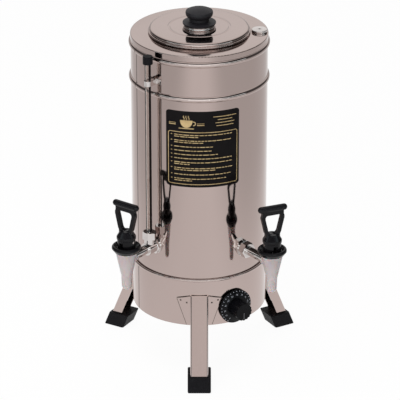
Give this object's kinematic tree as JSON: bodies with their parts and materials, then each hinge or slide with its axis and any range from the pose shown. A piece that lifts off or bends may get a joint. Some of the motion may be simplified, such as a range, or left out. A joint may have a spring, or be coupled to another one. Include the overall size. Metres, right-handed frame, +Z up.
{
  "type": "coffee urn",
  "caption": "Tall polished steel coffee urn on splayed legs, with a coffee pot in a heated water jacket, self-closing taps, a sight gauge, a thermostat dial and a lift-off lid.",
  "frame": {"origin": "on the floor, under the urn's upright axis", "axes": "+Z up along the urn's axis, -Y to the front between the taps, +X to the right"},
  "size_m": [0.2636, 0.2372, 0.4916],
  "materials": {
    "polished_steel": "mirror polished sheet",
    "inner_steel": "satin",
    "bright_fittings": "bright plated",
    "black_plastic": "moulded, semi gloss",
    "black_rubber": "moulded matt",
    "milky_plastic": "translucent, smooth",
    "gauge_glass": "clear tube",
    "label_foil": "printed foil",
    "brass_fittings": "turned",
    "ceramic_case": "moulded"
  },
  "bodies": {
    "urn": {"body_shell": "polished_steel", "base_skirt": "polished_steel", "boiler_bottom": "inner_steel", "base_plate": "inner_steel", "base_screws": "inner_steel", "top_cover": "polished_steel", "filler_neck": "inner_steel", "coffee_pot": "inner_steel", "pot_outlet_pipe": "inner_steel", "heating_element": "inner_steel", "element_nuts": "brass_fittings", "thermostat_body": "ceramic_case", "thermostat_bulb": "brass_fittings", "cord_gland": "black_plastic", "label_plate": "label_foil", "leg_front": "polished_steel", "leg_left": "polished_steel", "leg_right": "polished_steel", "foot_front": "black_rubber", "foot_left": "black_rubber", "foot_right": "black_rubber", "gauge_glass": "gauge_glass", "gauge_cap": "black_rubber", "gauge_clip": "bright_fittings", "gauge_tee": "bright_fittings", "gauge_nut": "bright_fittings", "gauge_seal": "black_rubber", "left_tap_shank": "bright_fittings", "left_tap_washers": "bright_fittings", "left_tap_nut": "bright_fittings", "left_tap_locknut": "brass_fittings", "left_tap_body": "milky_plastic", "left_tap_bonnet": "black_plastic", "left_tap_spring": "inner_steel", "right_tap_shank": "bright_fittings", "right_tap_washers": "bright_fittings", "right_tap_nut": "bright_fittings", "right_tap_body": "milky_plastic", "right_tap_bonnet": "black_plastic", "right_tap_spring": "inner_steel"},
    "lid": {"pot_lid": "polished_steel", "lid_ring": "inner_steel", "knob_ferrule": "bright_fittings", "lid_knob": "black_plastic", "knob_screw": "inner_steel"},
    "filler_cap": {"filler_cap": "bright_fittings"},
    "dial": {"thermostat_dial": "black_plastic", "thermostat_spindle": "inner_steel"},
    "left_plunger": {"left_tap_plunger": "inner_steel", "left_tap_seal": "black_rubber"},
    "left_handle": {"left_tap_handle": "black_plastic", "left_tap_pin": "inner_steel"},
    "right_plunger": {"right_tap_plunger": "inner_steel", "right_tap_seal": "black_rubber"},
    "right_handle": {"right_tap_handle": "black_plastic", "right_tap_pin": "inner_steel"}
  },
  "joints": [
    {"name": "lid_lift", "type": "slide", "parent": "urn", "child": "lid", "axis": [0, 0, 1], "range_m": [0, 0.15]},
    {"name": "filler_cap_lift", "type": "slide", "parent": "urn", "child": "filler_cap", "axis": [0, 0, 1], "range_m": [0, 0.04]},
    {"name": "dial_turn", "type": "hinge", "parent": "urn", "child": "dial", "pos_m": [0.04759, -0.07827, 0.097], "axis": [0.5195, -0.8545, 0], "range_deg": [0, 270]},
    {"name": "left_plunger_lift", "type": "slide", "parent": "urn", "child": "left_plunger", "axis": [0, 0, 1], "range_m": [0, 0.0044], "stiffness_N_per_m": 15, "springref_m": -0.004, "deforming": ["left_tap_spring"]},
    {"name": "left_handle_tilt", "type": "hinge", "parent": "left_plunger", "child": "left_handle", "pos_m": [-0.09513, -0.11337, 0.21], "axis": [0.809, -0.5878, 0], "range_deg": [0, 30]},
    {"name": "right_plunger_lift", "type": "slide", "parent": "urn", "child": "right_plunger", "axis": [0, 0, 1], "range_m": [0, 0.0044], "stiffness_N_per_m": 15, "springref_m": -0.004, "deforming": ["right_tap_spring"]},
    {"name": "right_handle_tilt", "type": "hinge", "parent": "right_plunger", "child": "right_handle", "pos_m": [0.09513, -0.11337, 0.2055], "axis": [0.9272, 0.3746, 0], "range_deg": [0, 30]}
  ],
  "couplings": [
    {"joint": "left_plunger_lift", "follows": "left_handle_tilt", "m_per_rad": 0.0083},
    {"joint": "right_plunger_lift", "follows": "right_handle_tilt", "m_per_rad": 0.0083}
  ]
}
